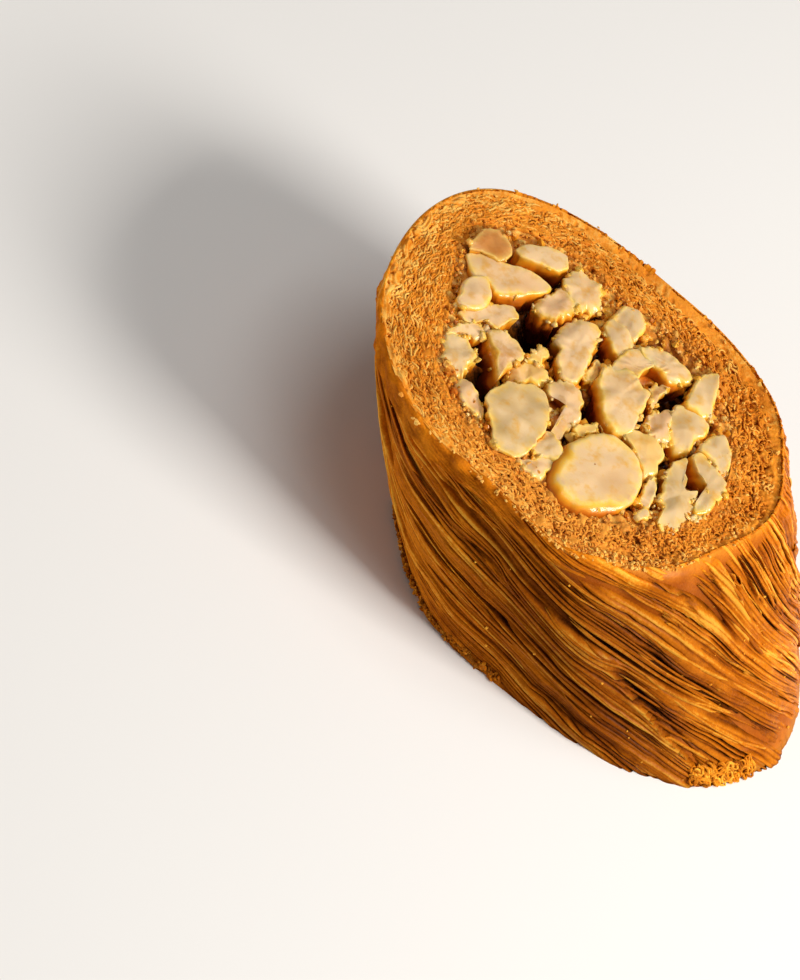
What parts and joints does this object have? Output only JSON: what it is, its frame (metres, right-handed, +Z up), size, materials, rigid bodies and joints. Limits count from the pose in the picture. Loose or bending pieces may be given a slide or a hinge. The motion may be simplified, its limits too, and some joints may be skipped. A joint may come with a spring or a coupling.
{
  "type": "kataifi roll",
  "caption": "Slanted slice of a twisted kataifi roll: a leaning oval wall of wound shredded pastry round a filling of chopped nuts that shows on both cuts.",
  "frame": {"origin": "centre of the lower slanting cut, in the plane that the slice rests on", "axes": "+Z up from the lower cut to the upper cut, +X along the length of the oval cuts, the roll leaning towards -X as it goes up"},
  "size_m": [0.0781, 0.0503, 0.027],
  "materials": {
    "pastry": "baked golden shredded pastry with a thin syrup glaze, browner in the grooves",
    "nuts": "pale chopped nuts in syrup, amber in the hollows, with a soft shine"
  },
  "bodies": {
    "root": {"kataifi_pastry": "pastry", "nut_filling": "nuts"}
  },
  "joints": []
}
